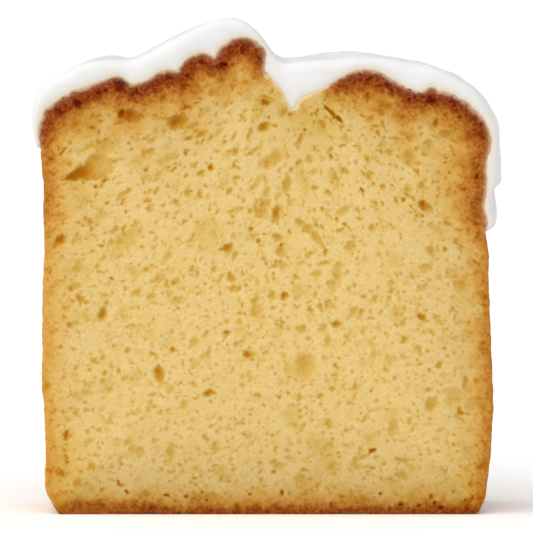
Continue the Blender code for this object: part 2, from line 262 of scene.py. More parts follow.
# Colours are sRGB, and tints are multiplied with them
CRUST_COLOURS = ((0.0, (217, 192, 138)), (0.15, (215, 172, 96)), (0.35, (202, 141, 61)),
                 (0.55, (178, 103, 38)), (0.75, (158, 73, 27)), (0.9, (132, 48, 15)), (1.0, (112, 34, 9)))
CRUST_FLECK = 0.4  # how much browner its flecks are
SOAKED_COLOUR = (229, 205, 167)
CRUMB_TINTS = ((0.34, (255, 251, 242)), (0.5, (254, 251, 236)), (0.66, (251, 246, 220)))
GRAIN_TINTS = ((0.36, (248, 243, 229)), (0.64, (255, 255, 255)))
GRAIN_SIZE, GRAIN_DRAWN_OUT = 0.5, 0.55
GRAIN_TILTS = (38.0, -42.0)  # left and right of the crack, in degrees
SPECK_TINTS = ((0.0, (255, 255, 255)), (1.0, (216, 202, 162)))
# Painted shade in the pores: the deep value turns the crumb amber, standing for shade and warm bounce light
# in the hollows; the packed crumb is deepened the same way
PORE_SHADE_TINTS = ((0.0, (255, 255, 255)), (0.35, (243, 235, 195)), (0.62, (234, 212, 144)),
              (0.82, (226, 190, 96)), (0.92, (219, 170, 60)), (1.0, (208, 148, 42)))
# Painted shade: the crumb and crust darkened towards black by their zone's shade
ZONE_SHADE_TINTS = ((0.0, (255, 255, 255)), (1.0, (0, 0, 0)))

# The icing's colour by its thin value: creamy next to the crust, partly painted warm bounce light from the
# crust, and greyer and warmer out to the right, partly painted shade
ICING_COLOURS = ((0.0, (220, 221, 223)), (0.65, (213, 206, 197)), (1.0, (219, 203, 178)))
ICING_CREAM_BOUNCE = 1.0  # how far from the crust its cut face takes on cream, partly painted warm bounce light from the crust
ICING_THIN_SHADE_FROM, ICING_THIN_SHADE = (40.0, 45.0), 0.5  # where it thins out to the right, and how much, which greys it there as partly painted shade
ICING_TINTS = ((0.35, (252, 250, 249)), (0.65, (255, 255, 252)))

# The icing's shape
ICING_FILLET = 0.6  # the rounding of its cut edges
ICING_SINK = 0.25  # how far its underside lies in the crust
ICING_FILM = 0.25  # the least that it stands off the crust
ICING_TIP = 1.2  # how far around a place its least stand-off is looked for
STAND_OFF_SOFTENING = 0.4
ICING_FREE = (0.4, 2.4)  # its relief comes up while it stands off the crust by this much
ICING_SHOWN = 0.5  # it is meshed finely where it stands off more than this
ICING_HIDDEN = 0.4  # and coarsely where it stands off less than this
ICING_BULGE, BULGE_REACH = 0.3, 0.7  # how far its cut faces bulge, and how far from the crust
ICING_SET_BACK = 0.06  # how far its cut faces' edges lie behind the cake's cut

# The two cut faces of each piece: the depth, the way into the piece, which of the outlines is nearest, how
# many points the cake's has, the random seed, and each piece's bake map: its scale, and left and low corner
Cut = namedtuple("Cut", "y inward outline points seed cake_map icing_map")
FRONT = Cut(FRONT_Y, 1.0, 0, 52000, 51, (0.0067, 0.01, 0.01), (0.0049, 0.01, 0.01))
BACK = Cut(BACK_Y, -1.0, -1, 23000, 52, (0.0036, 0.65, 0.01), (0.0049, 0.51, 0.01))
CAKE_MAP_ORIGIN = np.array((CAKE_LOW[0] - 0.5, CAKE_LOW[2] - 0.5))
ICING_MAP_ORIGIN = np.array((CAKE_LOW[0] - 3.0, 55.0))
CRUST_MAP, ICING_MAP = (0.0053, 0.68), (0.0068, 0.5)  # the skins' bake maps: scale and low edge
MAP_STRIPS, MAP_MARGIN = 2, 0.01

# Stage
HORIZON_LIGHT, ROOM_LIGHT = 1.03, 0.6  # of the white room, low down and from 20 degrees up
HORIZON_HEIGHTS = (0.12, 0.35)  # the sines of the angles between which one blends into the other
KEY_LIGHT = 2.0
KEY_SOFTNESS = 90.0  # degrees across
KEY_FROM = (-0.38, -0.55, 0.74)
FLOOR_RADIUS = 60.0  # metres, so that its edge is out of view
FLOOR_WHITE = (0.97, 0.97, 0.97, 1.0)
VIEW_ELEVATION, VIEW_DISTANCE = 2.5, 800.0
VIEW_WIDTH, VIEW_MIDDLE_Z = 106.6, 49.74  # of the upright plane through the front cut that the camera sees


# ---- outlines read from the solids ----

DEPTHS = np.linspace(FRONT_Y + SLICE_INSET, BACK_Y - SLICE_INSET, int(THICKNESS / SLICE_STEP) + 1)


def section(solid, y):
    """The closed loop of (x, z) where a CAD node meets the plane at y."""
    cut = bmesh.new()
    cut.from_mesh(solid.data)
    bmesh.ops.remove_doubles(cut, verts=cut.verts, dist=1e-6)
    everything = cut.verts[:] + cut.edges[:] + cut.faces[:]
    found = bmesh.ops.bisect_plane(cut, geom=everything, plane_co=(0, y * MM, 0), plane_no=(0, 1, 0))
    links = {}
    for edge in found["geom_cut"]:
        if isinstance(edge, bmesh.types.BMEdge):
            a, b = edge.verts
            links.setdefault(a, []).append(b)
            links.setdefault(b, []).append(a)
    walk = [next(iter(links))]
    walk.append(links[walk[0]][0])
    while walk[-1] is not walk[0]:
        walk.append(next(vert for vert in links[walk[-1]] if vert is not walk[-2]))
    loop = np.array([(vert.co.x, vert.co.z) for vert in walk]) / MM
    cut.free()
    return loop


def outlines(name):
    """A CAD node's outlines at all depths, each with its last point repeating its first.

    They run clockwise as seen from the front.
    """
    loops = []
    for y in DEPTHS:
        loop = section(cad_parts[name], y)
        x, z = loop.T
        area = np.sum(x[:-1] * z[1:] - x[1:] * z[:-1])
        loops.append(loop[::-1] if area > 0 else loop)
    return loops


def evenly(line, step=None, count=None):
    """Points about a step apart along a line from end to end, or else count points without its end."""
    run = np.append(0.0, np.cumsum(np.hypot(*np.diff(line, axis=0).T)))
    wanted = np.linspace(0.0, run[-1], count or int(run[-1] / step) + 1, endpoint=count is None)
    return np.column_stack([np.interp(wanted, run, line[:, axis]) for axis in (0, 1)])


def softened(rows, spread):
    """Closed rows of values, blurred along the row by spread points."""
    frequency = np.fft.rfftfreq(rows.shape[-1])
    blur = np.exp(-2 * (math.pi * spread * frequency)**2)
    return np.fft.irfft(np.fft.rfft(rows, axis=-1) * blur, rows.shape[-1], axis=-1)


def smooth_step(value, low, high):
    """0 up to low, 1 from high on, and a gentle rise between them."""
    share = np.clip((value - low) / (high - low), 0.0, 1.0)
    return share * share * (3 - 2 * share)


def between(share, low, high):
    return low + (high - low) * share


class Skin:
    """The sides of a piece, as closed loops at many depths that all start next to the same corner."""

    def __init__(self, loops, start):
        self.length = np.sum(np.hypot(*np.diff(loops[0], axis=0).T))
        self.count = int(self.length / OUTLINE_STEP)
        rings = []
        for loop in loops:
            ring = evenly(loop, count=4 * self.count)
            first = np.argmin(np.hypot(*(ring - start).T))
            ring = np.roll(ring, -first, axis=0)
            rings.append(evenly(np.vstack((ring, ring[:1])), count=self.count))
        rings = softened(np.array(rings).transpose(2, 0, 1), OUTLINE_SOFTENING / OUTLINE_STEP)
        for _ in range(DEPTH_SOFTENINGS):
            rings[:, 1:-1] = (rings[:, :-2] + 2 * rings[:, 1:-1] + rings[:, 2:]) / 4
        self.rings = rings

    def at(self, run, y):
        """The skin's points (x, z) and outward directions at the distances run along it and depths y."""
        place = run / self.length * self.count
        ahead = self.blend(self.rings, place + DIRECTION_REACH / OUTLINE_STEP, y)
        behind = self.blend(self.rings, place - DIRECTION_REACH / OUTLINE_STEP, y)
        along = ahead - behind
        along /= np.hypot(*along)
        return self.blend(self.rings, place, y), np.array((-along[1], along[0]))

    def blend(self, rings, place, y):
        """Values between the rings' own, at places counted in ring points and at depths y."""
        return looked_up(rings, np.interp(y, DEPTHS, np.arange(len(DEPTHS))), place)


# ---- random fields ----

def swells(shape, step, size, seed):
    """A smooth random field of unit spread, with size millimetres from swell to swell. It repeats."""
    noise = np.random.default_rng(seed).standard_normal(shape)
    across = np.fft.fftfreq(shape[0], step)[:, None]
    along = np.fft.rfftfreq(shape[1], step)[None, :]
    blur = np.exp(-2 * (math.pi * size / 4)**2 * (across**2 + along**2))
    field = np.fft.irfft2(np.fft.rfft2(noise) * blur, shape)
    return field / field.std()


def stacked(shape, step, layers, seed):
    """The sum of several fields of swells, each given as its height and size."""
    return sum(height * swells(shape, step, size, seed + i) for i, (height, size) in enumerate(layers))


def looked_up(field, row, column):
    """Values of a field at fractional rows and columns, its last two axes, which wrap around."""
    low_row, low_column = np.floor(row).astype(int), np.floor(column).astype(int)
    down, across = row - low_row, column - low_column
    height, width = field.shape[-2:]
    left, right = low_column % width, (low_column + 1) % width
    near, far = [field[..., line % height, left] * (1 - across) + field[..., line % height, right] * across
                 for line in (low_row, low_row + 1)]
    return near * (1 - down) + far * down


def skin_relief(skin, layers, seed):
    """A function of run and depth: the relief of a skin, in millimetres outwards."""
    step = SKIN_STEP / 4
    spare = 20  # rows beyond each cut
    shape = (int(skin.length / step), int(THICKNESS / step) + 2 * spare)
    field = stacked(shape, step, layers, seed)
    return lambda run, y: looked_up(field, run / skin.length * shape[0], (y - FRONT_Y) / step + spare)


# ---- the cut faces ----

def on_grid(field, x, z):
    """The values of a raster at the points (x, z)."""
    return looked_up(field, (x - GRID_LOW[0]) / GRID, (z - GRID_LOW[1]) / GRID)


def press_pore(depth, tone, warped, pore, kind):
    """Deepens the rasters by one pore, whose rim follows the warped coordinates."""
    x, z, long, short, tilt = pore
    share, darkness = kind
    reach = PORE_WINDOW[0] * long + PORE_WINDOW[1]
    low = [max(int((middle - reach - edge) / GRID), 0) for middle, edge in zip((x, z), GRID_LOW)]
    window = tuple(slice(first, first + int(2 * reach / GRID) + 1) for first in low)
    from_x, from_z = warped[0][window] - x, warped[1][window] - z
    turn = math.radians(tilt)
    along = (from_x * math.cos(turn) + from_z * math.sin(turn)) / (long / 2)
    across = (from_z * math.cos(turn) - from_x * math.sin(turn)) / (short / 2)
    inside = np.clip(1 - along**2 - across**2, 0.0, 1.0)
    lean = 1 + PORE_LEAN * (from_z - from_x) / (long / 2)
    depth[window] = np.maximum(depth[window], share * short * lean * inside)
    # a pore's painted shade, darkest at its upper left away from the key light; for the crust's dark spots,
    # their real browning
    tone[window] = np.maximum(tone[window], darkness * lean * inside**PORE_FILL)


def press_tear(depth, tone, warped):
    """Deepens the rasters by the torn hollow."""
    inside = np.full(depth.shape, np.inf)
    corners = np.array(TEAR_CORNERS)
    for (x_a, z_a), (x_b, z_b) in zip(corners, np.roll(corners, -1, axis=0)):
        run = math.hypot(x_b - x_a, z_b - z_a)
        from_edge = ((x_b - x_a) * (warped[1] - z_a) - (z_b - z_a) * (warped[0] - x_a)) / run
        inside = np.minimum(inside, from_edge)
    share = smooth_step(np.hypot(warped[0] - TEAR_RISE[0], warped[1] - TEAR_RISE[1]), *TEAR_FALL)
    wall = 1 - np.exp(-np.clip(inside, 0.0, None) / TEAR_WALL)
    np.maximum(depth, between(share, *TEAR_DEPTHS) * wall, out=depth)
    # painted shade in the torn hollow, darkest where its floor lies lowest, under its upper left edge
    np.maximum(tone, between(share, *TEAR_SHADES) * wall, out=tone)


def random_pores(sort, seed):
    """Random pores over a cut face. High up they lead to the crack, as the crumb rose there."""
    count, middle, shares, tones = sort
    draw = np.random.default_rng(seed)
    pores = []
    for _ in range(count):
        x, z = draw.uniform(GRID_LOW, GRID_HIGH)
        risen = min(max((z - RISEN_FROM) / RISEN_OVER, 0.0), 1.0)
        to_crack = math.degrees(math.atan2(RISEN_TO[1] - z, RISEN_TO[0] - x))
        level = draw.normal(0.0, LEVEL_SPREAD)
        tilt = to_crack + draw.normal(0.0, RISEN_SPREAD) if draw.random() < risen else level
        long = middle * math.exp(min(draw.normal(0.0, PORE_SPREAD), PORE_LONGEST * PORE_SPREAD))
        slim = draw.uniform(1.0, SLIMMEST + RISEN_SLIMMER * risen)
        # how much painted shade deepens the pore's colour
        tone = between(draw.beta(*TONE_DRAW), *tones)
        kind = (draw.uniform(*shares), tone * (1 + RISEN_MORE_SHADE * risen))
        pores.append(((x, z, long * math.sqrt(slim), long / math.sqrt(slim), tilt), kind))
    return pores


def scattered(sorts, seed):
    return [pore for i, sort in enumerate(sorts) for pore in random_pores(sort, seed + i)]


def hollows(pores, seed, at_front=False):
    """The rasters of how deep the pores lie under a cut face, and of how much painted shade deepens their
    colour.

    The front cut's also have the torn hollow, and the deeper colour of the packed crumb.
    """
    plain = np.meshgrid(*GRID_AXES, indexing="ij")
    warped = [plain[i] + stacked(GRID_SHAPE, GRID, PORE_WARPS, seed + 5 * i) for i in range(2)]
    depth, tone = np.zeros((2, *GRID_SHAPE))
    for pore, kind in pores:
        press_pore(depth, tone, warped, pore, kind)
    if at_front:
        press_tear(depth, tone, warped)
        for x, z, reach, packing in PACKED_CRUMB:
            tone += packing * np.exp(-((plain[0] - x)**2 + (plain[1] - z)**2) / reach**2)
    return depth, tone


def front_hollows():
    kinds = ((SLIT_PORES, SLIT), (DEEP_PORES, DEEP), (PLAIN_PORES, PLAIN), (SOFT_PORES, SOFT))
    chosen = [(pore, kind) for pores, kind in kinds for pore in pores]
    return hollows(chosen + scattered((SMALL_PORES, MIDDLE_PORES, FAINT_PORES), 11), 21, at_front=True)


def back_hollows():
    return hollows(scattered((LARGE_PORES, SMALL_PORES, MIDDLE_PORES, FAINT_PORES), 15), 23)


def dark_spots(seed):
    """The raster of how much browner the crust's darkest spots are than what is around them."""
    spots = [((x, z, width, width, 0), (0.0, 1.0)) for x, z, width in DARK_SPOTS]
    return SPOT_DARKENING * hollows(spots, seed)[1]


def nearest(points, edge):
    """How far each point lies inside a closed clockwise edge, and which edge point is nearest."""
    tree = kdtree.KDTree(len(edge))
    for i, (x, z) in enumerate(edge):
        tree.insert((x, z, 0.0), i)
    tree.balance()
    index, distance = np.array([tree.find((x, z, 0.0))[1:] for x, z in points]).T
    index = index.astype(int)
    along = np.roll(edge, -1, axis=0) - np.roll(edge, 1, axis=0)
    away = points - edge[index]
    side = along[index, 0] * away[:, 1] - along[index, 1] * away[:, 0]
    return np.where(side < 0, distance, -distance), index


def cap_points(edge, relief, count, seed):
    """Points over a cut face: a coarse net, and finer ones where the relief bends most."""
    low, high = edge.min(axis=0), edge.max(axis=0)
    draw = np.random.default_rng(seed)
    fine = CAP_STEPS[-1]
    axes = [np.arange(int((b - a) / fine) + 2) for a, b in zip(low, high)]
    columns, rows = [numbers.ravel() for numbers in np.meshgrid(*axes, indexing="ij")]
    level_step = np.full(columns.shape, fine)
    for step in CAP_STEPS[-2::-1]:
        every = round(step / fine)
        level_step[(columns % every == 0) & (rows % every == 0)] = step
    x = low[0] + columns * fine + draw.uniform(-CAP_JITTER, CAP_JITTER, columns.shape) * level_step
    z = low[1] + rows * fine + draw.uniform(-CAP_JITTER, CAP_JITTER, rows.shape) * level_step
    height = on_grid(relief, x, z)
    bend = np.zeros(x.shape)
    for away_x, away_z in ((1, 0), (0, 1), (0.7, 0.7), (0.7, -0.7)):
        ahead = on_grid(relief, x + away_x * level_step, z + away_z * level_step)
        behind = on_grid(relief, x - away_x * level_step, z - away_z * level_step)
        bend = np.maximum(bend, np.abs(height - (ahead + behind) / 2))
    bend[level_step == CAP_STEPS[0]] = np.inf
    order = np.argsort(-bend, kind="stable")[:int(SPARE_POINTS * count)]
    points = np.column_stack((x, z))[order]
    inside, _ = nearest(points, edge)
    return points[inside > EDGE_CLEARANCE][:count]


# ---- building a closed piece ----

class Shell:
    """Gathers the points, triangles, bake map and points' values of one closed piece, patch by patch."""

    def __init__(self):
        self.points = np.empty((0, 3))
        self.faces = []
        self.maps = []
        self.values = {}

    def add(self, x, y, z):
        """Adds points and returns their numbers."""
        first = len(self.points)
        x, y, z = np.broadcast_arrays(x, y, z)
        self.points = np.vstack((self.points, np.column_stack((x, y, z))))
        return np.arange(first, len(self.points))

    def cover(self, flat, edge_count, numbers, to_map):
        """Triangulates flat points, of which the first edge_count are the patch's closed edge."""
        edge = [(i, (i + 1) % edge_count) for i in range(edge_count)]
        made = delaunay_2d_cdt([Vector(point) for point in flat], edge, [], 1, 1e-7)
        source = np.array([original[0] for original in made[3]])
        corners = source[np.array(made[2])]
        self.faces.append(numbers[corners])
        self.maps.append(to_map(flat[corners]))

    def give(self, name, numbers, values):
        """Gives the numbered points a value each, which the piece's material reads by name."""
        known = self.values.get(name, np.empty(0))
        self.values[name] = np.append(known, np.zeros(len(self.points) - len(known)))
        self.values[name][numbers] = values

    def mesh(self, name, material):
        """The closed mesh object in metres, with its bake map, values and material."""
        faces = np.vstack(self.faces)
        places = np.vstack(self.maps)
        data = bpy.data.meshes.new(name)
        data.from_pydata((self.points * MM).tolist(), [], faces.tolist())
        bake_map = data.uv_layers.new(name="OFBake")
        bake_map.data.foreach_set("uv", places.astype(np.float32).ravel())
        tidy = bmesh.new()
        tidy.from_mesh(data)
        bmesh.ops.recalc_face_normals(tidy, faces=tidy.faces)
        tidy.to_mesh(data)
        tidy.free()
        data.shade_smooth()
        for title, values in self.values.items():
            layer = data.attributes.new(title, "FLOAT", "POINT")
            layer.data.foreach_set("value", values.astype(np.float32))
        data.materials.append(material)
        piece = bpy.data.objects.new(name, data)
        bpy.context.collection.objects.link(piece)
        return piece


def flat_map(scale, left, low, origin):
    """A bake map for a cut face, laid flat at a scale with its origin's corner at left and low."""
    return lambda corners: np.array((left, low)) + scale * (corners - origin)


def strip_map(scale, low, length):
    """A bake map for a skin, cut into strips of even length that lie above one another."""
    part = length / MAP_STRIPS

    def place(corners):
        strip = np.clip(np.floor(corners[..., 0].mean(axis=1) / part), 0, MAP_STRIPS - 1)[:, None]
        u = 2 * MAP_MARGIN + scale * (corners[..., 0] - strip * part)
        v = low + MAP_MARGIN + strip * (scale * THICKNESS + MAP_MARGIN) + scale * corners[..., 1]
        return np.stack((u, v), axis=-1)
    return place


def net(length, step, seed):
    """Jittered points (run, depth) over a skin of this length, in staggered rows and clear of its edges."""
    draw = np.random.default_rng(seed)
    rows = np.arange(FRONT_Y + step, BACK_Y - step * 0.6, step * ROW_STEP)
    points = []
    for i, row in enumerate(rows):
        run = np.arange(step * (0.5 + 0.5 * (i % 2)), length - step * 0.4, step)
        points.append(np.column_stack((run, np.full(run.shape, row))))
    points = np.vstack(points)
    return points + draw.uniform(-NET_JITTER, NET_JITTER, points.shape) * step


def wrap(shell, skin, place, edge_step, inner, to_map):
    """Adds a piece's skin, and returns the point numbers of its front and back edges.

    place(run, y) gives the skin's points, and inner holds its points (run, depth) away from the edges.
    """
    count = int(skin.length / edge_step)
    runs = np.arange(count) * skin.length / count
    rows = np.linspace(FRONT_Y, BACK_Y, int(THICKNESS / edge_step / 2) + 1)[1:-1]
    front = shell.add(*place(runs, FRONT_Y))
    back = shell.add(*place(runs, BACK_Y))
    seam = shell.add(*place(np.zeros(rows.shape), rows))
    middle = shell.add(*place(*inner.T))
    numbers = [front, front[:1], seam, back[:1], back[::-1], seam[::-1], middle]
    ends, rows = np.append(runs, skin.length), rows - FRONT_Y
    sides = ((ends, 0.0), (skin.length, rows), (ends[::-1], THICKNESS), (0.0, rows[::-1]))
    edge = np.vstack([np.column_stack(np.broadcast_arrays(*side)) for side in sides])
    flat = np.vstack((edge, inner - (0.0, FRONT_Y)))
    shell.cover(flat, len(edge), np.concatenate(numbers), to_map)
    return front, back


def close(shell, edge, inner, heights, to_map):
    """Adds a cut face between the numbered points of its edge. Returns its own points' numbers."""
    outline = shell.points[edge][:, (0, 2)]
    numbers = shell.add(inner[:, 0], heights, inner[:, 1])
    shell.cover(np.vstack((outline, inner)), len(edge), np.concatenate((edge, numbers)), to_map)
    return numbers


# ---- browning ----

def by_zone(x, z, top, crack, upper_right, right, upper_left, left, base, base_end):
    """The value of the zone of crust that the outline point (x, z) lies in."""
    on_left = between(smooth_step(z, *LEFT_ZONE), left, upper_left)
    on_right = between(smooth_step(z, *RIGHT_ZONE), right, upper_right)
    on_top = np.where((x > CRACK_LEFT) & (x < CRACK_RIGHT), crack, top)
    side = np.where(x < 0, on_left, on_right)
    value = between(smooth_step(z, *SHOULDER_ZONE), side, on_top)
    bottom = between(smooth_step(-x, *BASE_END), base, base_end)
    return between(smooth_step(z, *BASE_ZONE), bottom, value)


def cut_browning(points, outline, soaked_edge, seed):
    """How brown, how darkened by painted shade, and how soaked with icing a cut face is at its points, from
    how far in they lie.
    """
    inside, index = nearest(points, outline)
    by_edge = [by_zone(*outline.T, *zones) for zones in (BROWN, BROWN_BAND, BROWN_REACH, ZONE_SHADE)]
    brown, band, reach, zone_shade, soaked = [softened(values, ZONE_SOFTENING / CAKE_EDGE_STEP)[index]
                                         for values in (*by_edge, soaked_edge)]
    waves, longer = [height * on_grid(swells(GRID_SHAPE, GRID, size, seed + i), *points.T)
                     for i, (height, size) in enumerate((BROWN_WAVES, REACH_WAVES))]
    reach = np.clip(reach * (1 + longer), LEAST_REACH, None)
    browned = brown * np.exp(-np.clip(inside + waves - band, 0.0, None) / reach)
    return browned, zone_shade * np.exp(-inside / ZONE_SHADE_REACH), soaked * np.exp(-inside / SOAKED_REACH)


# ---- materials ----

def colour(*channels):
    """An sRGB colour, its channels from 0 to 255, as the linear one that a shader takes."""
    shares = [channel / 255.0 for channel in channels]
    return (*[c / 12.92 if c <= 0.04045 else ((c + 0.055) / 1.055)**2.4 for c in shares], 1.0)


def set_inputs(made, inputs):
    """Gives a node's inputs, by name or number, each a value or another node's output."""
    for name, value in inputs.items():
        if isinstance(value, bpy.types.NodeSocket):
            made.id_data.links.new(value, made.inputs[name])
        else:
            made.inputs[name].default_value = value


def node(tree, kind, inputs, output=0, **settings):
    """An output of a new shader node with these inputs and settings."""
    made = tree.nodes.new("ShaderNode" + kind)
    for name, value in settings.items():
        setattr(made, name, value)
    set_inputs(made, inputs)
    return made.outputs[output]


def attribute(tree, name):
    return node(tree, "Attribute", {}, "Fac", attribute_name=name)


def noise(tree, size, detail, rough=0.5, place=None):
    """Noise with size millimetres from swell to swell."""
    place = place or node(tree, "TexCoord", {}, "Object")
    return node(tree, "TexNoise", {"Vector": place, "Scale": 1 / (size * MM), "Detail": detail,
                                   "Roughness": rough})


def math_node(tree, operation, *inputs):
    return node(tree, "Math", dict(enumerate(inputs)), operation=operation)


def map_range(tree, value, low, high, to_low=0.0, to_high=1.0):
    """A value between low and high, stretched to run from to_low to to_high."""
    return node(tree, "MapRange", {"Value": value, "From Min": low, "From Max": high, "To Min": to_low,
                                   "To Max": to_high})


def grain(tree):
    """Fine noise, drawn out towards the crack on both sides of it."""
    place = node(tree, "TexCoord", {}, "Object")
    sides = []
    for tilt in GRAIN_TILTS:
        turned = node(tree, "Mapping", {"Vector": place, "Rotation": (0.0, math.radians(tilt), 0.0)})
        drawn_out = node(tree, "Mapping", {"Vector": turned, "Scale": (GRAIN_DRAWN_OUT, 1.0, 1.0)})
        sides.append(noise(tree, GRAIN_SIZE, 1.0, place=drawn_out))
    x = node(tree, "SeparateXYZ", {"Vector": place})
    share = map_range(tree, x, CRACK_LEFT * MM, CRACK_RIGHT * MM)
    return node(tree, "Mix", {"Factor": share, "A": sides[0], "B": sides[1]})


def dots(tree, size, full, none, vary):
    """Uneven spots, at most one in each cube of size millimetres.

    A spot is full out to one share of size and gone at another, both less vary times a random number.
    """
    place = node(tree, "TexCoord", {}, "Object")
    wobble = node(tree, "TexNoise", {"Vector": place, "Scale": 2.5 / (size * MM)}, "Color")
    shaken = node(tree, "VectorMath", {0: wobble, 1: (0.5 * size * MM,) * 3, 2: place},
                  operation="MULTIPLY_ADD")
    away = node(tree, "TexVoronoi", {"Vector": shaken, "Scale": 1 / (size * MM)}, "Distance")
    away = math_node(tree, "MULTIPLY_ADD", away.node.outputs["Color"], vary, away)
    return map_range(tree, away, none, full)


def ramp(tree, value, stops):
    """Colours along a value: stops are pairs of a place and an sRGB colour."""
    colours = node(tree, "ValToRGB", {"Fac": value})
    elements = colours.node.color_ramp.elements
    for _ in range(len(stops) - 2):
        elements.new(0.5)
    for element, (place, channels) in zip(elements, stops):
        element.position = place
        element.color = colour(*channels)
    return colours


def mixed(tree, share, first, second, blend="MIX"):
    """The first colour with a share of the second one mixed in."""
    return node(tree, "Mix", {0: share, 6: first, 7: second}, 2, data_type="RGBA", blend_type=blend)


def bump(tree, height, strength, depth):
    """The normals of a relief that is depth millimetres deep."""
    return node(tree, "Bump", {"Height": height, "Strength": strength, "Distance": depth * MM})


def new_material(name):
    material = bpy.data.materials.new(name)
    material.use_nodes = True
    return material, material.node_tree, material.node_tree.nodes["Principled BSDF"]


def crumb_material():
    """Yellow crumb that browns to a dark crust, with painted shade deepening its colour where its pores go
    in and darkening it by the crust's zones.
    """
    material, tree, shader = new_material("crumb_and_crust")
    speckle = noise(tree, 0.7, 2.0, 0.6)
    flecked = math_node(tree, "MULTIPLY_ADD", dots(tree, 1.1, 0.15, 0.55, 0.5), CRUST_FLECK,
                        map_range(tree, speckle, 0.0, 1.0, 0.35, 1.6))
    colours = ramp(tree, math_node(tree, "MULTIPLY", attribute(tree, "bake"), flecked), CRUST_COLOURS)
    for tints in (ramp(tree, noise(tree, 3.2, 3.0, 0.6), CRUMB_TINTS),
                  ramp(tree, grain(tree), GRAIN_TINTS),
                  ramp(tree, dots(tree, 1.5, 0.1, 0.5, 0.6), SPECK_TINTS),
                  # painted shade in the pores
                  ramp(tree, attribute(tree, "deep"), PORE_SHADE_TINTS),
                  ramp(tree, attribute(tree, "zone_shade"), ZONE_SHADE_TINTS)):
        colours = mixed(tree, 1.0, colours, tints, "MULTIPLY")
    colours = mixed(tree, attribute(tree, "soaked"), colours, colour(*SOAKED_COLOUR))
    set_inputs(shader, {
        "Base Color": colours,
        "Roughness": map_range(tree, speckle, 0.0, 1.0, 0.75, 0.95),
        "Specular IOR Level": 0.04,
        "Subsurface Weight": 0.15,
        "Subsurface Radius": (1.0, 0.55, 0.2),
        "Subsurface Scale": 1.0 * MM,
        "Normal": bump(tree, noise(tree, 0.9, 1.5), 0.4, 0.12),
    })
    return material


def icing_material():
    """Satin sugar icing, white where it is thick and creamy where it thins out over the crust, with painted
    warm bounce light from the crust next to it and painted shade on its right side.
    """
    material, tree, shader = new_material("sugar_icing")
    body = ramp(tree, attribute(tree, "thin"), ICING_COLOURS)
    cloudy = ramp(tree, noise(tree, 7.0, 2.0), ICING_TINTS)
    set_inputs(shader, {
        "Base Color": mixed(tree, 1.0, body, cloudy, "MULTIPLY"),
        "Roughness": map_range(tree, noise(tree, 2.5, 2.0), 0.0, 1.0, 0.3, 0.46),
        "Specular IOR Level": 0.45,
        "Subsurface Weight": 0.25,
        "Subsurface Radius": (1.0, 0.85, 0.7),
        "Subsurface Scale": 1.0 * MM,
        "Normal": bump(tree, noise(tree, 1.6, 2.0), 0.15, 0.2),
    })
    return material


# ---- the cake ----

def colour_skin(shell):
    """Gives the points of the cake's skin, all that it has so far, their values."""
    x, y, z = shell.points.T
    brown = by_zone(x, z, *BROWN)
    mottle = on_grid(stacked(GRID_SHAPE, GRID, SKIN_MOTTLES, 61),
                     y + MOTTLE_SHEARS[0] * x, z + MOTTLE_SHEARS[1] * x)
    shell.give("bake", slice(None), brown + SKIN_BROWNER * (1 - brown) + mottle)
    # painted shade by zone on the crust's outer side, darkest on the base and the right side, away from the
    # key light
    shell.give("zone_shade", slice(None), SKIN_ZONE_SHADE * by_zone(x, z, *ZONE_SHADE))


def add_cake_cut(shell, edge, cut, hollow, iced_loop):
    """Adds one of the cake's cut faces, with its pores pressed in, and gives its points their values."""
    depth, tone = hollow
    rough = stacked(GRID_SHAPE, GRID, CUT_SWELLS, cut.seed + 10)
    outline = shell.points[edge][:, (0, 2)]
    points = cap_points(outline, depth + rough + TONE_COUNTS * tone, cut.points, cut.seed)
    relief = on_grid(depth, *points.T) + on_grid(rough, *points.T)
    fade = smooth_step(nearest(points, outline)[0], *CUT_FADE)
    to_map = flat_map(*cut.cake_map, CAKE_MAP_ORIGIN)
    numbers = close(shell, edge, points, cut.y + cut.inward * relief * fade, to_map)

    spots = dark_spots(cut.seed + 15)
    under_icing = np.abs(nearest(outline, iced_loop)[0]) < UNDER_ICING
    soaked_edge = by_zone(*outline.T, *SOAKED) * under_icing
    browned, zone_shade, soaked = cut_browning(points, outline, soaked_edge, cut.seed + 20)
    # painted shade in the pores' colour
    shell.give("deep", numbers, on_grid(tone, *points.T))
    shell.give("bake", numbers, browned + on_grid(spots, *points.T))
    shell.give("bake", edge, by_zone(*outline.T, *BROWN) + on_grid(spots, *outline.T))
    # painted shade darkening the crumb towards the crust, most at the base and on the right
    shell.give("zone_shade", numbers, zone_shade)
    shell.give("zone_shade", edge, by_zone(*outline.T, *ZONE_SHADE))
    shell.give("soaked", numbers, soaked)
    shell.give("soaked", edge, soaked_edge)


def build_cake():
    """The cake, its skin, and a function that gives the points of its relieved skin."""
    skin = Skin(outlines("cake"), (0.0, 0.0))
    relief = skin_relief(skin, CRUST_SWELLS, 31)

    def place(run, y):
        (x, z), (out_x, out_z) = skin.at(run, y)
        rise = relief(run, y) * (1 + TOP_ROUGHER * smooth_step(z, *SHOULDER_ZONE))
        for bulge_x, bulge_z, reach, height in CRUST_BULGES:
            rise = rise + height * np.exp(-((x - bulge_x)**2 + (z - bulge_z)**2) / reach**2)
        return x + out_x * rise, y, np.clip(z + out_z * rise, 0.0, None)

    shell = Shell()
    fine = net(skin.length, SKIN_STEP, 41)
    (_, fine_z), _ = skin.at(*fine.T)
    coarse = net(skin.length, HIDDEN_STEP, 42)
    (_, coarse_z), _ = skin.at(*coarse.T)
    inner = np.vstack((fine[fine_z < SHOWN_BELOW], coarse[coarse_z > SHOWN_BELOW + 1.0]))
    front, back = wrap(shell, skin, place, CAKE_EDGE_STEP, inner, strip_map(*CRUST_MAP, skin.length))
    colour_skin(shell)
    iced = outlines("icing")
    add_cake_cut(shell, front, FRONT, front_hollows(), iced[0])
    add_cake_cut(shell, back, BACK, back_hollows(), iced[-1])
    return shell.mesh("cake_crumb", crumb_material()), skin, place


# ---- the icing ----

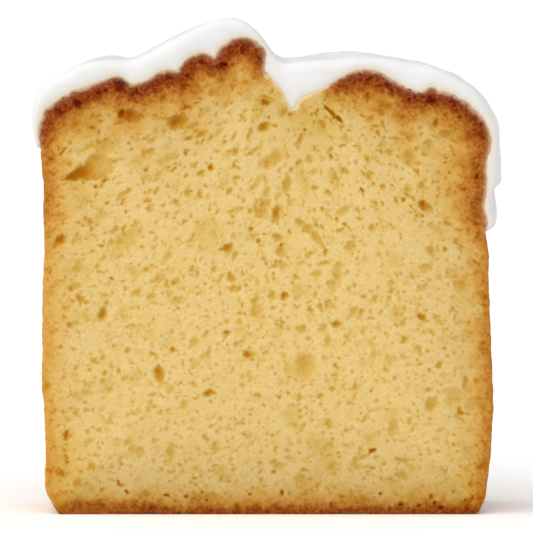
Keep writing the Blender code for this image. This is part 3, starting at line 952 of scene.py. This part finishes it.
def laid_on(crust, loop):
    """The icing's loop at one depth, its underside laid on the crust and sunk a little into it."""
    lowest = [np.argmin(np.where(side, loop[:, 1], np.inf)) for side in (loop[:, 0] < 0, loop[:, 0] > 0)]
    loop = np.roll(loop[:-1], -lowest[0], axis=0)
    outer = evenly(loop[:(lowest[1] - lowest[0]) % len(loop) + 1], OUTLINE_STEP / 2)
    inside, index = nearest(outer, crust)
    smooth = softened(crust.T, CRUST_SOFTENING / OUTLINE_STEP).T
    along = np.roll(smooth, -1, axis=0) - np.roll(smooth, 1, axis=0)
    away = np.column_stack((-along[:, 1], along[:, 0])) / np.hypot(*along.T)[:, None]
    run = np.arange(len(outer)) * OUTLINE_STEP / 2
    film = ICING_FILM * smooth_step(np.minimum(run, run[::-1]), 0.0, 1.0)
    outer += away[index] * np.clip(film + inside, 0.0, None)[:, None]
    sunk = (smooth - ICING_SINK * away)[index[0]:index[-1] + 1][::-1]
    return np.vstack((outer, sunk, outer[:1]))


def thinness_and_shade(points, crust):
    """How thin the icing's cut face looks at its points, next to the crust and far out to the right; this
    also paints warm bounce light from the crust next to it and shade on the right.
    """
    off_crust = np.clip(-nearest(points, crust)[0], 0.0, None)
    to_right = ICING_THIN_SHADE * smooth_step(points[:, 0], *ICING_THIN_SHADE_FROM)
    return np.maximum(np.exp(-off_crust / ICING_CREAM_BOUNCE), to_right)


def least_stand_off(skin, crusts):
    """How far the icing stands off the crust at its rings' points, at least, near each of them."""
    gaps = np.array([-nearest(skin.rings[:, row].T, crust)[0] for row, crust in enumerate(crusts)])
    to_tip = round(ICING_TIP / OUTLINE_STEP)
    least = np.min([np.roll(gaps, shift, axis=1) for shift in range(-to_tip, to_tip + 1)], axis=0)
    return softened(least[None], STAND_OFF_SOFTENING / OUTLINE_STEP)


def add_icing_cut(shell, edge, cut, crust):
    """Adds one of the icing's cut faces, which bulges a little where it stands off the crust."""
    outline = shell.points[edge][:, (0, 2)]
    axes = [np.arange(*ends, ICING_CUT_STEP) for ends in zip(outline.min(axis=0), outline.max(axis=0))]
    points = np.column_stack([place.ravel() for place in np.meshgrid(*axes)])
    inside, _ = nearest(points, outline)
    kept = inside > EDGE_CLEARANCE
    points, inside = points[kept], inside[kept]
    off_crust = np.clip(-nearest(points, crust)[0], 0.0, None)
    bulge = ICING_BULGE * (1 - np.exp(-off_crust / BULGE_REACH)) * smooth_step(inside, 0.0, 1.0)
    to_map = flat_map(*cut.icing_map, ICING_MAP_ORIGIN)
    numbers = close(shell, edge, points, cut.y + cut.inward * (ICING_SET_BACK - bulge), to_map)
    shell.points[edge, 1] = cut.y + cut.inward * ICING_SET_BACK
    # painted warm bounce light next to the crust and painted shade on the right side, besides thinness
    shell.give("thin", numbers, thinness_and_shade(points, crust))
    shell.give("thin", edge, thinness_and_shade(outline, crust))


def build_icing(cake_skin, crust_at):
    """The icing, laid on the cake's skin as crust_at gives it."""
    run = np.arange(cake_skin.count) / cake_skin.count * cake_skin.length
    crusts = [np.column_stack(crust_at(run, y)[::2]) for y in DEPTHS]
    skin = Skin([laid_on(*pair) for pair in zip(crusts, outlines("icing"))], CRACK_TIP)
    gap = least_stand_off(skin, crusts)
    relief = skin_relief(skin, ICING_SWELLS, 71)

    def stand_off(run, y):
        return skin.blend(gap, run / skin.length * skin.count, y)[0]

    def place(run, y):
        (x, z), (out_x, out_z) = skin.at(run, y)
        from_cut = np.clip(np.minimum(y - FRONT_Y, BACK_Y - y), 0.0, ICING_FILLET)
        fillet = ICING_FILLET - np.sqrt(ICING_FILLET**2 - (ICING_FILLET - from_cut)**2)
        rise = smooth_step(stand_off(run, y), *ICING_FREE) * (relief(run, y) - fillet)
        return x + out_x * rise, y, z + out_z * rise

    shell = Shell()
    fine = net(skin.length, ICING_STEP, 43)
    coarse = net(skin.length, ICING_HIDDEN_STEP, 44)
    inner = np.vstack((fine[stand_off(*fine.T) > ICING_SHOWN], coarse[stand_off(*coarse.T) < ICING_HIDDEN]))
    edges = wrap(shell, skin, place, ICING_EDGE_STEP, inner, strip_map(*ICING_MAP, skin.length))
    for edge, cut in zip(edges, (FRONT, BACK)):
        add_icing_cut(shell, edge, cut, crusts[cut.outline])
    return shell.mesh("sugar_icing", icing_material())


# ---- stage ----

def make_floor():
    bpy.ops.mesh.primitive_circle_add(vertices=96, radius=FLOOR_RADIUS, fill_type="NGON")
    floor = bpy.context.object
    floor.name = "floor"
    material, _, shader = new_material("white_floor")
    set_inputs(shader, {"Base Color": FLOOR_WHITE, "Roughness": 1.0, "Specular IOR Level": 0.0})
    floor.data.materials.append(material)


def placed(name, data, facing):
    """A new light or camera, whose back faces this way."""
    item = bpy.data.objects.new(name, data)
    item.rotation_euler = facing.to_track_quat("Z", "Y").to_euler()
    bpy.context.collection.objects.link(item)
    return item


def make_lights():
    """A white room, brightest low down, and a very soft sun."""
    bpy.context.scene.view_settings.view_transform = "Standard"
    world = bpy.data.worlds.new("white_room")
    world.use_nodes = True
    tree = world.node_tree
    direction = node(tree, "TexCoord", {}, "Generated")
    up = node(tree, "SeparateXYZ", {"Vector": direction}, "Z")
    glow = map_range(tree, up, *HORIZON_HEIGHTS, HORIZON_LIGHT, ROOM_LIGHT)
    set_inputs(tree.nodes["Background"], {"Color": (1.0, 1.0, 1.0, 1.0), "Strength": glow})
    bpy.context.scene.world = world
    light = bpy.data.lights.new("key_light", "SUN")
    light.energy = KEY_LIGHT
    light.angle = math.radians(KEY_SOFTNESS)
    placed("key_light", light, Vector(KEY_FROM))


def make_camera():
    """The camera at the photo's viewing angle, level with the slice's middle and far off."""
    tilt = math.radians(VIEW_ELEVATION)
    facing = Vector((0.0, -math.cos(tilt), math.sin(tilt)))
    view = bpy.data.cameras.new("camera")
    view.lens = view.sensor_width * VIEW_DISTANCE / VIEW_WIDTH
    camera = placed("camera", view, facing)
    camera.location = (Vector((0.0, FRONT_Y, VIEW_MIDDLE_Z)) + facing * VIEW_DISTANCE) * MM
    bpy.context.scene.camera = camera


make_camera()
make_lights()
make_floor()
cake, cake_skin, crust_at = build_cake()
icing = build_icing(cake_skin, crust_at)
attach(cake, "root")
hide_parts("cake")
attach(icing, "root")
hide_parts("icing")
